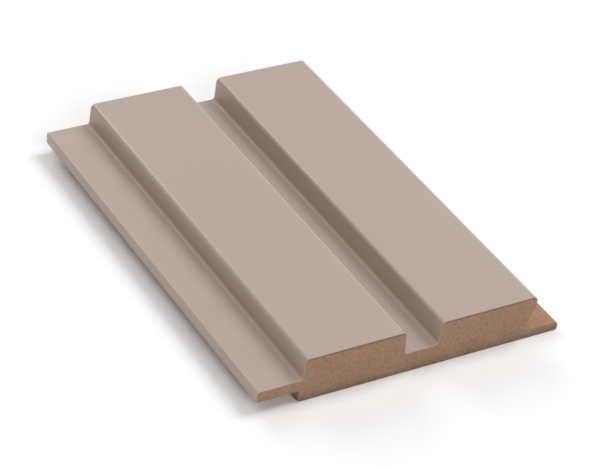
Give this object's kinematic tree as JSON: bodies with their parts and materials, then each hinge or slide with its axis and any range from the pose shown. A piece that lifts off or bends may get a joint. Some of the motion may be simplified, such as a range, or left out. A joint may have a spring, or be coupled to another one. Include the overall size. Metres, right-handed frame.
{
  "type": "wall panel",
  "caption": "Short length of painted ribbed MDF wall panel with a thin lapping lip along its left edge and a bare tongue under a slanted wall along its right edge.",
  "frame": {"origin": "centre of the bounding box's underside: the middle of the overall width and length, in the plane of the flat back", "axes": "+X runs across the panel from the thin lip to the tongue, +Y along its length from the near cut end to the far one, +Z out of the painted face"},
  "size_m": [0.1102, 0.15, 0.016],
  "materials": {
    "lacquered_board": "satin greige lacquer, on the ribbed face from the lip's lower edge to the brow over the tongue",
    "bare_board": "bare brown fibreboard, sawn at the ends and milled on the back, rabbet, tongue and slanted wall"
  },
  "bodies": {
    "root": {"wall_panel": "lacquered_board"}
  },
  "joints": []
}
